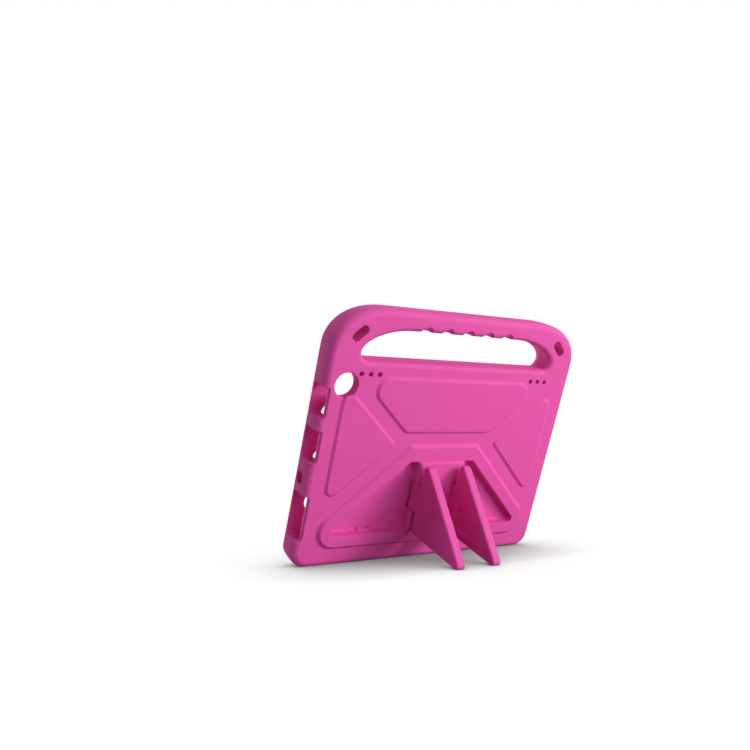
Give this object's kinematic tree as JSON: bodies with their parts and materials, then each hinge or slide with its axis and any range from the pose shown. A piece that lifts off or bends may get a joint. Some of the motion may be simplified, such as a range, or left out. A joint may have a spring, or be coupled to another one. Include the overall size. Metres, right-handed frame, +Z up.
{
  "type": "kids tablet case",
  "caption": "Moulded foam case for a handheld tablet, with a carry handle over the bay, side cut-outs and fold-out legs that lean it back.",
  "frame": {"origin": "on the surface that the case leans on, under the middle of its bounding box", "axes": "+Z up, +X towards the wall with the side cut-outs, screen opening faces -Y and the legs stand out towards +Y"},
  "size_m": [0.22, 0.0892, 0.1801],
  "materials": {
    "foam": "matte closed-cell foam with a fine diagonal emboss",
    "pin_steel": "drawn wire, satin"
  },
  "bodies": {
    "case": {"shell": "foam", "hinge_pin_right": "pin_steel", "hinge_pin_left": "pin_steel"},
    "right_leg": {"leg_right": "foam"},
    "left_leg": {"leg_left": "foam"}
  },
  "joints": [
    {"name": "right_leg_fold", "type": "hinge", "parent": "case", "child": "right_leg", "pos_m": [0.01605, -0.00868, 0.04774], "axis": [0, 0.3661, 0.9306], "range_deg": [-90, 0]},
    {"name": "left_leg_fold", "type": "hinge", "parent": "case", "child": "left_leg", "pos_m": [-0.01605, -0.00868, 0.04774], "axis": [0, 0.3661, 0.9306], "range_deg": [0, 90]}
  ]
}
